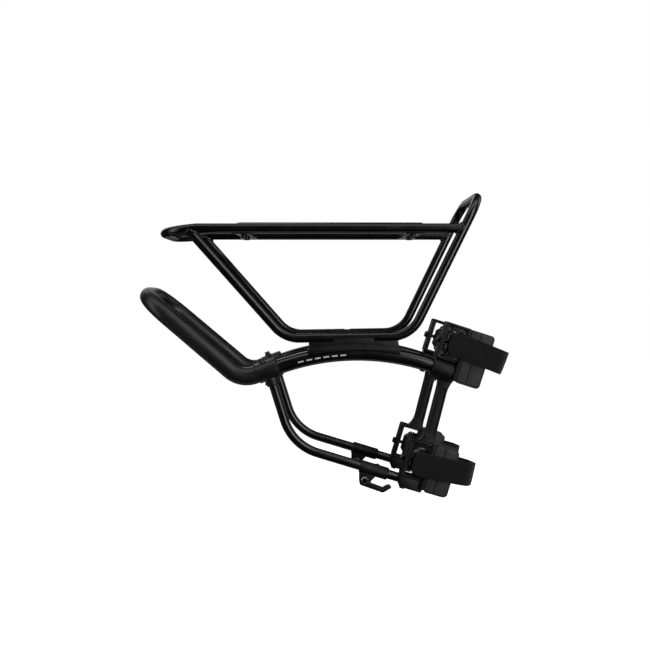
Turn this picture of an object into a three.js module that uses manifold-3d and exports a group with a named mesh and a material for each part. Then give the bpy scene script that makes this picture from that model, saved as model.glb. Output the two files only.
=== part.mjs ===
// Bicycle rear rack that straps to the seat stays. Millimetres.
// +X is the bicycle's forward, +Z is up, -Y is its right-hand side.
// The origin lies midway between the groove floors of the two upper pads.
import * as THREE from "three";
import Module from "manifold-3d";
import { mergeVertices } from "three/addons/utils/BufferGeometryUtils.js";

const wasm = await Module();
wasm.setup();

// ---------------------------------------------------------------- dimensions

const HALF_DECK = 60; // centre plane to the deck rails
const HALF_BASE = 55; // centre plane to the arches, struts and stay mounts
const FIT = 0.3; // clearance between parts that touch on the real rack
const SIDES = [
  ["right", -1],
  ["left", 1],
];

const RAIL = { outer: 5, wall: 1.2, sides: 12 };
const ARCH = { outer: 8, wall: 1.5, sides: 16 };
const LOOP = { outer: 9.6, wall: 1.8, sides: 16 };
const STRUT = { outer: 5, wall: 1.2, sides: 12 };

const deck = { z: 137.6, rearX: -328.5, rearDrop: 4, dipX: -291, cornerR: 33, dipR: 30 };
const frame = {
  legTop: [-298.9, 136.1], // where the rear leg meets the dipping rail
  rearCorner: [-197.5, 21.2],
  frontCorner: [-64.2, 23.4],
  frontLegX: -8.8, // where the front leg passes the deck rail
  cornerR: 34,
};
const hoop = { z: 171.8, cornerR: 25, jointZ: 146 };
const track = { rearX: -251, frontX: -49, halfWidth: 38, z0: 142.4, z1: 145.4 };
const cross = { halfEnd: 11, halfMiddle: 7.5, neckY: 24, z0: 132.9, z1: 135.9, boltY: 20 };
const CROSS_X = [
  ["rear", -244],
  ["front", -59],
];

const arch = { x: -120.85, z: -240.8, r: 246.2, rearX: -217, frontX: -21.5 };
const cradle = { rearX: -172, frontX: -76.5, riseRearX: -146, riseFrontX: -104.6 };
const CRADLE_BOLT_X = -128.5;
const archZ = (x, r = arch.r) => arch.z + Math.sqrt(r * r - (x - arch.x) ** 2);

const sleeve = { rear: [-227.3, -16.9], front: [-204.6, -9], outer: 10.7 };
const loop = {
  bend: [-244.6, -22.4],
  bar: [-348.7, 66.2],
  halfBar: 49, // the loop narrows a little towards its crossbar
  bendR: 26,
  cornerR: 36,
};
const strut = { top: [-212, -22], bend: [-189.9, -92.9], bendR: 53 };

// A stay mount has its own axes: u forward along the strap, w up along the stay.
// u = 0 is the face the saddle pad is fixed to.
const MOUNTS = {
  upper: {
    at: [-9.5, 3.06],
    tilt: 17.8,
    half: 29,
    top: 29.5,
    window: [-7.2, 26],
    socketW: -20.4,
    strapW: 9.3,
    strapLean: -4,
    foldU: 46.2,
  },
  lower: {
    at: [-44.7, -115.6],
    tilt: 16.5,
    half: 25.6,
    top: 24.7,
    window: [-13.6, 21.4],
    socketW: -20.5,
    strapW: 2.3,
    strapLean: 3,
    foldU: 48.2,
  },
};
const BRACKET = { rearU: -27.8, barU: -23.5, wallU: -4, halfY: 10 };
const CLAMP_U = -21; // the screw under each socket
const PAD = { depth: 26, floor: 10, halfY: 15, halfGroove: 8 };
const STAPLE = { rearU: -15.2, frontU: -6.8, half: 14, wire: 1.25 };
const STRAP = { width: 25, thick: 1.8, halfY: 16.2, rearU: -11.2 };
const HOOK_X = { right: -117.6, left: -122.2 }; // start of each hook clamp on its strut

// ---------------------------------------------------------------- materials

const material = (name, color, metalness, roughness) =>
  Object.assign(new THREE.MeshStandardMaterial({ color, metalness, roughness }), {
    name,
  });
const glossPaint = () => material("gloss_black_paint", 0x0b0b0c, 0, 0.15);
const satinPaint = () => material("satin_black_paint", 0x17181a, 0, 0.45);
const blackPlastic = () => material("black_plastic", 0x1b1c1d, 0, 0.6);
const blackRubber = () => material("black_rubber", 0x232425, 0, 0.8);
const strapFabric = () => material("strap_fabric", 0x151617, 0, 0.95);
const darkScrew = () => material("black_screw", 0x222326, 0.9, 0.35);
const brightSteel = () => material("bright_steel", 0xb9bcc0, 1, 0.25);

// ------------------------------------------------------------ solid helpers

// A three.js geometry as a manifold-3d solid that faces outwards.
function solid(geometry) {
  const bare = new THREE.BufferGeometry().setAttribute(
    "position",
    (geometry.index ? geometry.toNonIndexed() : geometry).getAttribute("position"),
  );
  const merged = mergeVertices(bare, 1e-4);
  const make = (triVerts) =>
    new wasm.Manifold(
      new wasm.Mesh({
        numProp: 3,
        vertProperties: merged.getAttribute("position").array,
        triVerts,
      }),
    );
  const triangles = new Uint32Array(merged.index.array);
  const made = make(triangles);
  return made.volume() > 0 ? made : make(triangles.reverse());
}

const fuse = (...solids) => solids.reduce((a, b) => a.add(b));
const cut = (body, ...tools) => tools.reduce((a, b) => a.subtract(b), body);

function geometryOf(body) {
  const mesh = body.getMesh();
  const geometry = new THREE.BufferGeometry();
  const positions = new THREE.BufferAttribute(mesh.vertProperties, mesh.numProp);
  geometry.setAttribute("position", positions);
  geometry.setIndex(new THREE.BufferAttribute(mesh.triVerts, 1));
  geometry.computeVertexNormals();
  return geometry;
}

const rack = new THREE.Group();
rack.name = "seat_stay_rack";

function addNode(name, body, finish) {
  const mesh = new THREE.Mesh(geometryOf(body), finish);
  mesh.name = name;
  rack.add(mesh);
}

// ---------------------------------------------------------- shape helpers

const v3 = (x, y, z) => new THREE.Vector3(x, y, z);

// The point a distance d from start along a direction.
const offset = (start, direction, d) => start.clone().addScaledVector(direction, d);

function circlePoints(radius, sides, x = 0, y = 0) {
  const points = [];
  for (let i = 0; i < sides; i++) {
    const a = ((i + 0.5) / sides) * 2 * Math.PI;
    points.push(new THREE.Vector2(x + radius * Math.cos(a), y + radius * Math.sin(a)));
  }
  return points;
}

// A path given by its stations, so that straight runs cost one segment each.
class BentPath extends THREE.Curve {
  constructor(stations) {
    super();
    this.stations = stations;
  }
  station(u) {
    return this.stations[Math.round(u * (this.stations.length - 1))];
  }
  getPoint(u) {
    return this.station(u).point.clone();
  }
  getPointAt(u) {
    return this.getPoint(u);
  }
  getTangentAt(u) {
    return this.station(u).tangent.clone();
  }
}

// Straight runs between corners, each corner rounded to its own radius.
function bentPath(corners, radii, degreesPerStep = 15) {
  const first = corners[1].clone().sub(corners[0]).normalize();
  const stations = [{ point: corners[0], tangent: first }];
  for (let i = 1; i < corners.length - 1; i++) {
    const into = corners[i].clone().sub(corners[i - 1]).normalize();
    const out = corners[i + 1].clone().sub(corners[i]).normalize();
    const turn = into.angleTo(out);
    const radius = radii[i - 1];
    const start = corners[i].clone().addScaledVector(into, -radius * Math.tan(turn / 2));
    const inward = out.clone().addScaledVector(into, -out.dot(into)).normalize();
    const steps = Math.max(1, Math.round(THREE.MathUtils.radToDeg(turn) / degreesPerStep));
    for (let k = 0; k <= steps; k++) {
      const a = (turn * k) / steps;
      const point = start
        .clone()
        .addScaledVector(into, radius * Math.sin(a))
        .addScaledVector(inward, radius * (1 - Math.cos(a)));
      const tangent = into
        .clone()
        .multiplyScalar(Math.cos(a))
        .addScaledVector(inward, Math.sin(a));
      stations.push({ point, tangent });
    }
  }
  const last = corners.at(-1);
  stations.push({ point: last, tangent: last.clone().sub(corners.at(-2)).normalize() });
  return new BentPath(stations);
}

// Round section swept along a path; a wall makes it a tube with open ends.
function sweep(path, radius, sides, wall = 0) {
  const section = new THREE.Shape(circlePoints(radius, sides));
  if (wall) section.holes.push(new THREE.Path(circlePoints(radius - wall, sides)));
  const steps = path.stations.length - 1;
  return solid(new THREE.ExtrudeGeometry(section, { steps, extrudePath: path }));
}
const tube = (path, stock) => sweep(path, stock.outer, stock.sides, stock.wall);
const tubeSpace = (path, stock) => sweep(path, stock.outer + FIT, stock.sides);

// Cylinder between two points.
function rod(from, to, radius, sides = 16) {
  const axis = to.clone().sub(from);
  const geometry = new THREE.CylinderGeometry(radius, radius, axis.length(), sides);
  geometry.rotateY(Math.PI / sides);
  geometry.translate(0, axis.length() / 2, 0);
  const turn = new THREE.Quaternion().setFromUnitVectors(v3(0, 1, 0), axis.normalize());
  geometry.applyQuaternion(turn);
  geometry.translate(from.x, from.y, from.z);
  return solid(geometry);
}

function box(x0, x1, y0, y1, z0, z1) {
  const geometry = new THREE.BoxGeometry(x1 - x0, y1 - y0, z1 - z0);
  geometry.translate((x0 + x1) / 2, (y0 + y1) / 2, (z0 + z1) / 2);
  return solid(geometry);
}

// Outline in X and Z, extruded from y0 to y1.
function slab(outline, y0, y1) {
  const geometry = new THREE.ExtrudeGeometry(outline, {
    depth: y1 - y0,
    bevelEnabled: false,
    curveSegments: 3,
  });
  geometry.rotateX(Math.PI / 2);
  geometry.translate(0, y1, 0);
  return solid(geometry);
}

function roundedRect(x0, y0, x1, y1, r) {
  const shape = new THREE.Shape();
  shape.moveTo(x0 + r, y0);
  shape.lineTo(x1 - r, y0);
  shape.absarc(x1 - r, y0 + r, r, -Math.PI / 2, 0);
  shape.lineTo(x1, y1 - r);
  shape.absarc(x1 - r, y1 - r, r, 0, Math.PI / 2);
  shape.lineTo(x0 + r, y1);
  shape.absarc(x0 + r, y1 - r, r, Math.PI / 2, Math.PI);
  shape.lineTo(x0, y0 + r);
  shape.absarc(x0 + r, y0 + r, r, Math.PI, 1.5 * Math.PI);
  return shape;
}

// Socket-head screw: a shank and a head with a hexagon recess.
function screw(seat, direction, shankR, length, headR, headHeight) {
  const along = direction.clone().normalize();
  const at = (d) => offset(seat, along, d);
  return cut(
    fuse(rod(at(-0.5), at(length), shankR, 10), rod(at(-headHeight), at(0), headR, 16)),
    rod(at(-headHeight - 1), at(-headHeight * 0.4), headR * 0.5, 6),
  );
}

// ------------------------------------------------------------------ platform

const deckPoint = ([x, z], side) => v3(x, side * HALF_DECK, z);
const basePoint = ([x, z], side) => v3(x, side * HALF_BASE, z);

// U of the deck rail, its closed end dipping a little to the rear.
const deckPath = bentPath(
  [
    deckPoint([frame.frontLegX, deck.z], -1),
    deckPoint([deck.dipX, deck.z], -1),
    deckPoint([deck.rearX, deck.z - deck.rearDrop], -1),
    deckPoint([deck.rearX, deck.z - deck.rearDrop], 1),
    deckPoint([deck.dipX, deck.z], 1),
    deckPoint([frame.frontLegX, deck.z], 1),
  ],
  [deck.dipR, deck.cornerR, deck.cornerR, deck.dipR],
);

// The front leg leans outwards as it rises from the base to the deck.
function onFrontLeg(side, z) {
  const foot = basePoint(frame.frontCorner, side);
  const atDeck = deckPoint([frame.frontLegX, deck.z], side);
  return foot.clone().lerp(atDeck, (z - foot.z) / (atDeck.z - foot.z));
}

const sideFramePath = (side) =>
  bentPath(
    [
      deckPoint(frame.legTop, side),
      basePoint(frame.rearCorner, side),
      basePoint(frame.frontCorner, side),
      onFrontLeg(side, hoop.jointZ),
    ],
    [frame.cornerR, frame.cornerR],
  );

const bottomRailZ = (x) => {
  const [x0, z0] = frame.rearCorner;
  const [x1, z1] = frame.frontCorner;
  return z0 + ((x - x0) * (z1 - z0)) / (x1 - x0);
};

function buildTopRail() {
  const legs = SIDES.map(([, side]) => {
    const ends = [deck.z - 12, deck.z + 12];
    const [low, high] = ends.map((z) => onFrontLeg(side, z));
    return rod(low, high, RAIL.outer + FIT, RAIL.sides);
  });
  addNode("top_rail", cut(tube(deckPath, RAIL), ...legs), glossPaint());
}

// Each side frame carries a drilled boss that its cradle bolt is sunk into.
function buildSideFrame(name, side) {
  const y = side * HALF_BASE;
  const railZ = bottomRailZ(CRADLE_BOLT_X);
  const along = (z) => v3(CRADLE_BOLT_X, y, z);
  const path = sideFramePath(side);
  const stock = sweep(path, RAIL.outer, RAIL.sides);
  const boss = rod(along(railZ - 5), along(railZ + 5), 5.6, 12).intersect(stock);
  const body = cut(
    fuse(tube(path, RAIL), boss),
    rod(along(railZ - 9), along(railZ + 9), 2.3, 12),
    rod(along(railZ + 1), along(railZ + 9), 3.7, 12),
    tubeSpace(deckPath, RAIL),
  );
  addNode("side_frame_" + name, body, glossPaint());
}

function buildFrontHoop() {
  const path = bentPath(
    [
      onFrontLeg(-1, hoop.jointZ + FIT),
      onFrontLeg(-1, hoop.z),
      onFrontLeg(1, hoop.z),
      onFrontLeg(1, hoop.jointZ + FIT),
    ],
    [hoop.cornerR, hoop.cornerR],
  );
  addNode("front_hoop", tube(path, RAIL), glossPaint());
}

// Cross plate between the deck rails, flared at its ends, with two bosses
// that hold the track plate up.
function buildCrossPlate(name, x) {
  const end = HALF_DECK;
  const neck = cross.neckY;
  const outline = new THREE.Shape();
  outline.moveTo(x - cross.halfEnd, -end);
  outline.lineTo(x + cross.halfEnd, -end);
  outline.lineTo(x + cross.halfMiddle, -neck);
  outline.lineTo(x + cross.halfMiddle, neck);
  outline.lineTo(x + cross.halfEnd, end);
  outline.lineTo(x - cross.halfEnd, end);
  outline.lineTo(x - cross.halfMiddle, neck);
  outline.lineTo(x - cross.halfMiddle, -neck);
  const flat = new THREE.ExtrudeGeometry(outline, {
    depth: cross.z1 - cross.z0,
    bevelEnabled: false,
  });
  flat.translate(0, 0, cross.z0);
  const bolts = [-cross.boltY, cross.boltY];
  const bosses = bolts.map((y) =>
    rod(v3(x, y, cross.z0 + 1), v3(x, y, track.z0 - FIT), 6, 12),
  );
  const drills = bolts.map((y) =>
    rod(v3(x, y, cross.z0 - 5), v3(x, y, track.z1), 2.3, 10),
  );
  const rails = tubeSpace(deckPath, RAIL);
  const body = cut(fuse(solid(flat), ...bosses), rails, ...drills);
  addNode("cross_plate_" + name, body, glossPaint());
  bolts.forEach((y, i) => {
    const seat = v3(x, y, cross.z0 - FIT);
    const bolt = screw(seat, v3(0, 0, 1), 2, track.z1 - 1.5 - seat.z, 3.5, 3);
    addNode("plate_bolt_" + name + "_" + SIDES[i][0], bolt, darkScrew());
  });
}

// Slotted plate that a bag's own clamp or strap fixes to.
function buildTrackPlate() {
  const { rearX, frontX, halfWidth, z0, z1 } = track;
  const outline = roundedRect(rearX, -halfWidth, frontX, halfWidth, 8);
  const middleX = (rearX + frontX) / 2;
  for (const y of [-28, 0, 28])
    outline.holes.push(roundedRect(middleX - 65, y - 3.5, middleX + 65, y + 3.5, 3.49));
  for (const [, x] of CROSS_X)
    for (const y of [-cross.boltY, cross.boltY])
      outline.holes.push(new THREE.Path(circlePoints(2.3, 10, x, y)));
  const geometry = new THREE.ExtrudeGeometry(outline, {
    depth: z1 - z0,
    bevelEnabled: false,
    curveSegments: 4,
  });
  geometry.translate(0, 0, z0);
  addNode("track_plate", solid(geometry), satinPaint());
}

// --------------------------------------------------------------- lower frame

// Arch centreline at a radius offset, from x0 to x1.
function archPath(side, x0 = arch.rearX, x1 = arch.frontX, steps = 20) {
  const angle = (x) => Math.asin((x - arch.x) / arch.r);
  const stations = [];
  for (let i = 0; i <= steps; i++) {
    const a = angle(x0) + ((angle(x1) - angle(x0)) * i) / steps;
    stations.push({
      point: v3(
        arch.x + arch.r * Math.sin(a),
        side * HALF_BASE,
        arch.z + arch.r * Math.cos(a),
      ),
      tangent: v3(Math.cos(a), 0, -Math.sin(a)),
    });
  }
  return new BentPath(stations);
}

// Room for an arch or a strut in the parts that grip it.
const archSpace = (side) =>
  tubeSpace(archPath(side, arch.rearX - FIT, arch.frontX + FIT), ARCH);
const strutSpace = (side) => tubeSpace(strutPath(side, STRUT_END_U + FIT), STRUT);

// Curved shoe on the arch with a web that rises round the bottom rail.
function buildCradle(name, side) {
  const y = side * HALF_BASE;
  const band = (x0, x1, r0, r1, halfY) => {
    const outline = new THREE.Shape();
    const a0 = Math.asin((x0 - arch.x) / arch.r);
    const a1 = Math.asin((x1 - arch.x) / arch.r);
    const steps = 10;
    const edge = (r, a) => [arch.x + r * Math.sin(a), arch.z + r * Math.cos(a)];
    outline.moveTo(...edge(r0, a0));
    for (let i = 1; i <= steps; i++)
      outline.lineTo(...edge(r0, a0 + ((a1 - a0) * i) / steps));
    for (let i = steps; i >= 0; i--)
      outline.lineTo(...edge(r1, a0 + ((a1 - a0) * i) / steps));
    return slab(outline, y - halfY, y + halfY);
  };
  const { rearX, frontX, riseRearX, riseFrontX } = cradle;
  const shoe = band(rearX, frontX, arch.r + 3, arch.r + 10.6, 9.4);
  const webOutline = new THREE.Shape();
  webOutline.moveTo(rearX + 1.5, archZ(rearX, arch.r + 8));
  webOutline.lineTo(CRADLE_BOLT_X, archZ(CRADLE_BOLT_X, arch.r + 8));
  webOutline.lineTo(frontX - 1.5, archZ(frontX, arch.r + 8));
  webOutline.lineTo(frontX - 1.5, bottomRailZ(frontX) - 4.2);
  webOutline.lineTo(riseFrontX, bottomRailZ(riseFrontX) - 4.2);
  webOutline.lineTo(riseFrontX, bottomRailZ(riseFrontX) - 0.5);
  webOutline.lineTo(riseRearX, bottomRailZ(riseRearX) - 0.5);
  webOutline.lineTo(riseRearX, bottomRailZ(riseRearX) - 4.2);
  webOutline.lineTo(rearX + 1.5, bottomRailZ(rearX) - 4.2);
  const web = slab(webOutline, y - 7, y + 7);
  const boltLine = (z) => v3(CRADLE_BOLT_X, y, z);
  const body = cut(
    fuse(shoe, web),
    archSpace(side),
    tubeSpace(sideFramePath(side), RAIL),
    rod(boltLine(10), boltLine(30), 2.3, 12),
  );
  addNode("cradle_" + name, body, blackPlastic());
  const seat = boltLine(bottomRailZ(CRADLE_BOLT_X) + 1 + FIT);
  const bolt = screw(seat, v3(0, 0, -1), 2, 9.2, 3.4, 3);
  addNode("cradle_bolt_" + name, bolt, darkScrew());
}

// Strut end inside the lower mount's socket.
const STRUT_END_U = -6;
const strutEnd = (u = STRUT_END_U) => mountPoint("lower", u, MOUNTS.lower.socketW);
function strutPath(side, u) {
  const corners = [strut.top, strut.bend, strutEnd(u)];
  return bentPath(
    corners.map((corner) => basePoint(corner, side)),
    [strut.bendR],
  );
}

// Sleeve that joins arch, rear loop and strut, with a boss for its clamp screw.
function buildSleeve(name, side) {
  const rear = basePoint(sleeve.rear, side);
  const front = basePoint(sleeve.front, side);
  const along = front.clone().sub(rear).normalize();
  const up = v3(-along.z, 0, along.x);
  const strutTop = basePoint(strut.top, side);
  const down = basePoint(strut.bend, side).sub(strutTop).normalize();
  const seat = offset(offset(rear, along, 9), up, sleeve.outer);
  const spigotR = (LOOP.outer - LOOP.wall - FIT) * 0.95;
  const body = cut(
    fuse(
      rod(rear, front, sleeve.outer, 20),
      rod(offset(rear, along, -6), offset(rear, along, 2), spigotR, 16),
      rod(offset(strutTop, down, -7), offset(strutTop, down, 7), 7.2, 16),
      rod(offset(seat, up, -3), offset(seat, up, 0.9), 4.2, 12),
    ),
    archSpace(side),
    strutSpace(side),
    rod(offset(seat, up, -2.4), offset(seat, up, 3), 3, 12),
  );
  addNode("sleeve_" + name, body, satinPaint());
  const grub = cut(
    rod(offset(seat, up, -2), offset(seat, up, 1), 2.6, 12),
    rod(offset(seat, up, -0.4), offset(seat, up, 2), 1.3, 6),
  );
  addNode("sleeve_screw_" + name, grub, darkScrew());
}

function buildRearLoop() {
  const along = basePoint(sleeve.front, 1).sub(basePoint(sleeve.rear, 1)).normalize();
  const start = (side) => offset(basePoint(sleeve.rear, side), along, -FIT);
  const path = bentPath(
    [
      start(-1),
      basePoint(loop.bend, -1),
      v3(loop.bar[0], -loop.halfBar, loop.bar[1]),
      v3(loop.bar[0], loop.halfBar, loop.bar[1]),
      basePoint(loop.bend, 1),
      start(1),
    ],
    [loop.bendR, loop.cornerR, loop.cornerR, loop.bendR],
  );
  addNode("rear_loop", tube(path, LOOP), satinPaint());
}

// --------------------------------------------------------------- stay mounts

// X and Z of a point given in a mount's own u and w.
function mountPoint(level, u, w) {
  const { at, tilt } = MOUNTS[level];
  const a = THREE.MathUtils.degToRad(tilt);
  return [
    at[0] + u * Math.cos(a) + w * Math.sin(a),
    at[1] - u * Math.sin(a) + w * Math.cos(a),
  ];
}
const mountPoint3 = (level, side, u, w) => basePoint(mountPoint(level, u, w), side);

// Moves a solid drawn in u, y, w about a mount's own origin into place.
function placeInMount(body, level, side) {
  const { at, tilt } = MOUNTS[level];
  return body.rotate([0, tilt, 0]).translate([at[0], side * HALF_BASE, at[1]]);
}

// Window frame with the wall that the pad is screwed to, above a tube socket.
function mountFrame(level) {
  const { half, top, window, socketW } = MOUNTS[level];
  const { rearU, barU, wallU, halfY } = BRACKET;
  const plate = roundedRect(rearU, window[0] - 3, 0, top, 1.5);
  plate.holes.push(roundedRect(barU, window[0], wallU, window[1], 0.8));
  const wall = box(wallU, 0, -PAD.halfY + 1, PAD.halfY - 1, -half + 1, half - 1);
  const socket =
    level === "upper"
      ? rod(v3(rearU + 1, 0, socketW), v3(0, 0, socketW), 12, 20)
      : box(rearU, 0, -9, 9, socketW - 8, window[0]);
  return fuse(slab(plate, -halfY, halfY), wall, socket);
}

// Flared bar from the upper socket down to the lower window frame.
function linkBar(side) {
  const y = side * HALF_BASE;
  const p = (level, u, w) => mountPoint(level, u, w);
  const outline = new THREE.Shape();
  outline.moveTo(...p("upper", -17.6, -28));
  outline.quadraticCurveTo(...p("upper", -15.8, -34), ...p("upper", -15.5, -40));
  outline.lineTo(...p("lower", -14.6, 38));
  outline.quadraticCurveTo(...p("lower", -14.4, 29), ...p("lower", -20, 23));
  outline.lineTo(...p("lower", 0, 23));
  outline.quadraticCurveTo(...p("lower", -3, 27), ...p("lower", -2.8, 36));
  outline.lineTo(...p("upper", -3.8, -40));
  outline.quadraticCurveTo(...p("upper", -3.6, -33), ...p("upper", -0.5, -28));
  const recess = new THREE.Shape();
  recess.moveTo(...p("upper", -13.1, -42));
  recess.lineTo(...p("lower", -12.1, 36));
  recess.lineTo(...p("lower", -5.2, 36));
  recess.lineTo(...p("upper", -6.2, -42));
  return cut(
    slab(outline, y - 5, y + 5),
    slab(recess, y - 6, y - 3.6),
    slab(recess, y + 3.6, y + 6),
  );
}

function buildBracket(name, side) {
  const { rearU, barU } = BRACKET;
  const bores = [];
  for (const level of ["upper", "lower"]) {
    const { strapW, socketW } = MOUNTS[level];
    const p = (u, w) => mountPoint3(level, side, u, w);
    bores.push(rod(p(rearU - 3, strapW), p(barU + 2, strapW), 2.3, 10));
    const under = socketW - (level === "upper" ? 12 : 8);
    bores.push(rod(p(CLAMP_U, under - 4), p(CLAMP_U, socketW), 1.9, 10));
  }
  const body = cut(
    fuse(
      placeInMount(mountFrame("upper"), "upper", side),
      placeInMount(mountFrame("lower"), "lower", side),
      linkBar(side),
    ),
    archSpace(side),
    strutSpace(side),
    ...bores,
  );
  addNode("stay_bracket_" + name, body, blackPlastic());
}

// Rubber channel that seats on the stay: a back and two wings.
function buildPad(level, name, side) {
  const { half } = MOUNTS[level];
  const section = new THREE.Shape();
  const { depth, floor, halfY, halfGroove } = PAD;
  section.moveTo(FIT, -halfY);
  section.lineTo(depth - 3, -halfY);
  section.lineTo(depth, -halfY + 3);
  section.lineTo(depth, -halfGroove - 1);
  section.lineTo(floor, -halfGroove);
  section.lineTo(floor, halfGroove);
  section.lineTo(depth, halfGroove + 1);
  section.lineTo(depth, halfY - 3);
  section.lineTo(depth - 3, halfY);
  section.lineTo(FIT, halfY);
  const geometry = new THREE.ExtrudeGeometry(section, {
    depth: 2 * half,
    bevelEnabled: false,
  });
  geometry.translate(0, 0, -half);
  const rounded = slab(roundedRect(0, -half, depth, half, 4), -20, 20);
  const body = placeInMount(solid(geometry).intersect(rounded), level, side);
  addNode("pad_" + level + "_" + name, body, blackRubber());
}

// Screws: the tensioner through the rear bar, and the clamp under the socket.
function buildMountScrews(level, name, side) {
  const { strapW, socketW } = MOUNTS[level];
  const origin = mountPoint3(level, side, 0, 0);
  const u = mountPoint3(level, side, 1, 0).sub(origin);
  const w = mountPoint3(level, side, 0, 1).sub(origin);
  const seat = mountPoint3(level, side, BRACKET.rearU - FIT, strapW);
  const tensioner = screw(seat, u, 2, 13.6, 3.5, 3.4);
  addNode("tension_bolt_" + level + "_" + name, tensioner, darkScrew());
  const under = socketW - (level === "upper" ? 12 : 8) - FIT;
  const tubeR = level === "upper" ? ARCH.outer : STRUT.outer;
  const length = socketW - tubeR - 2 * FIT - under;
  const clamp = screw(mountPoint3(level, side, CLAMP_U, under), w, 1.6, length, 2.9, 1.6);
  addNode("socket_screw_" + level + "_" + name, clamp, darkScrew());
}

// Carriage that the tensioner pulls back: a block, a wire staple and a strap.
function buildCarriage(level, name, side) {
  const { strapW, strapLean, foldU } = MOUNTS[level];
  const { rearU, frontU, half, wire } = STAPLE;
  const tag = "_" + level + "_" + name;

  const outline = new THREE.Shape();
  outline.moveTo(-19, strapW - 8);
  outline.lineTo(-16, strapW - 11);
  outline.lineTo(-12.6, strapW - 11);
  outline.lineTo(-12.6, strapW + 11);
  outline.lineTo(-16, strapW + 11);
  outline.lineTo(-19, strapW + 8);
  const block = cut(
    slab(outline, -9, 9),
    rod(v3(-25, 0, strapW), v3(-5, 0, strapW), 2.3, 10),
    rod(v3(rearU, 0, strapW + 4.5), v3(rearU, 0, strapW + 15), wire + FIT, 10),
    rod(v3(rearU, 0, strapW - 4.5), v3(rearU, 0, strapW - 15), wire + FIT, 10),
  );
  addNode("tension_block" + tag, placeInMount(block, level, side), blackPlastic());

  const staple = bentPath(
    [
      v3(rearU, 0, strapW + 5),
      v3(rearU, 0, strapW + half),
      v3(frontU, 0, strapW + half),
      v3(frontU, 0, strapW - half),
      v3(rearU, 0, strapW - half),
      v3(rearU, 0, strapW - 5),
    ],
    [2, 2, 2, 2],
    45,
  );
  const wireBody = placeInMount(sweep(staple, wire, 8), level, side);
  addNode("strap_staple" + tag, wireBody, brightSteel());

  const { width, thick, halfY } = STRAP;
  const loopOutline = (grow) => {
    const shape = new THREE.Shape();
    const y = halfY + grow;
    shape.moveTo(STRAP.rearU + thick - grow, -y + 5);
    shape.lineTo(STRAP.rearU + thick - grow + 3, -y);
    shape.lineTo(25, -y);
    shape.lineTo(foldU - thick + grow, -1.2 - grow * 0.4);
    shape.lineTo(foldU - thick + grow, 1.2 + grow * 0.4);
    shape.lineTo(25, y);
    shape.lineTo(STRAP.rearU + thick - grow + 3, y);
    shape.lineTo(STRAP.rearU + thick - grow, y - 5);
    return shape;
  };
  const outer = loopOutline(thick);
  outer.holes.push(loopOutline(0));
  const geometry = new THREE.ExtrudeGeometry(outer, { depth: width, bevelEnabled: false });
  geometry.translate(-STRAP.rearU, 0, -width / 2);
  const strap = solid(geometry)
    .rotate([0, -strapLean, 0])
    .translate([STRAP.rearU, 0, strapW]);
  addNode("strap" + tag, placeInMount(strap, level, side), strapFabric());
}

// -------------------------------------------------------------- bag hooks

// Clamp round the strut with a pannier hook below it, its bolt and nut.
function buildHook(name, side, x) {
  const end = basePoint(strutEnd(), side);
  const bend = basePoint(strut.bend, side);
  const along = end.clone().sub(bend).normalize();
  const at = offset(bend, along, (x - bend.x) / along.x);
  const tilt = THREE.MathUtils.radToDeg(Math.atan2(-along.z, along.x));
  const place = (body) => body.rotate([0, tilt, 0]).translate([at.x, at.y, at.z]);
  const hook = new THREE.Shape();
  hook.moveTo(0.3, 2);
  hook.lineTo(0.6, -7);
  hook.lineTo(3.4, -15.5);
  hook.quadraticCurveTo(4.4, -19, 7.6, -19.3);
  hook.lineTo(30, -20.2);
  hook.quadraticCurveTo(32.4, -20.2, 34, -18);
  hook.lineTo(39, -12);
  hook.lineTo(35.2, -10.4);
  hook.lineTo(32.6, -12);
  hook.lineTo(29.6, -15.3);
  hook.lineTo(19, -14.6);
  hook.quadraticCurveTo(15.6, -13.8, 16.2, -11.6);
  hook.lineTo(18.6, -6);
  hook.lineTo(19.2, 2);
  const sleeveBody = rod(v3(0, 0, 0), v3(31, 0, 0), 6.6, 16);
  const boltLine = (y) => v3(9, y, -13.2);
  const body = cut(
    fuse(sleeveBody, slab(hook, -4, 4)),
    rod(v3(-2, 0, 0), v3(34, 0, 0), STRUT.outer + FIT, 16),
    rod(boltLine(-6), boltLine(6), 2.3, 10),
  );
  addNode("hook_clamp_" + name, place(body), blackPlastic());
  const seat = boltLine(side * (4 + FIT));
  const bolt = screw(seat, v3(0, -side, 0), 2, 11, 3.5, 2.4);
  addNode("hook_bolt_" + name, place(bolt), darkScrew());
  const nutFace = -side * (4 + FIT);
  const nut = cut(
    rod(boltLine(nutFace), boltLine(nutFace - side * 2.6), 3.8, 6),
    rod(boltLine(nutFace + side), boltLine(nutFace - side * 4), 2.3, 10),
  );
  addNode("hook_nut_" + name, place(nut), brightSteel());
}

// ------------------------------------------------------------------- build

buildTopRail();
buildFrontHoop();
CROSS_X.forEach(([name, x]) => buildCrossPlate(name, x));
buildTrackPlate();
buildRearLoop();
for (const [name, side] of SIDES) {
  buildSideFrame(name, side);
  buildCradle(name, side);
  addNode("arch_" + name, tube(archPath(side), ARCH), glossPaint());
  buildSleeve(name, side);
  addNode("strut_" + name, tube(strutPath(side), STRUT), glossPaint());
  buildBracket(name, side);
  for (const level of ["upper", "lower"]) {
    buildPad(level, name, side);
    buildMountScrews(level, name, side);
    buildCarriage(level, name, side);
  }
  buildHook(name, side, HOOK_X[name]);
}

export default rack;
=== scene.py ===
"""Looks of the seat-stay rack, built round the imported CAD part."""

import math

import bmesh
import bpy
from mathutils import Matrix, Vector
from mathutils.geometry import tessellate_polygon


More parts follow.
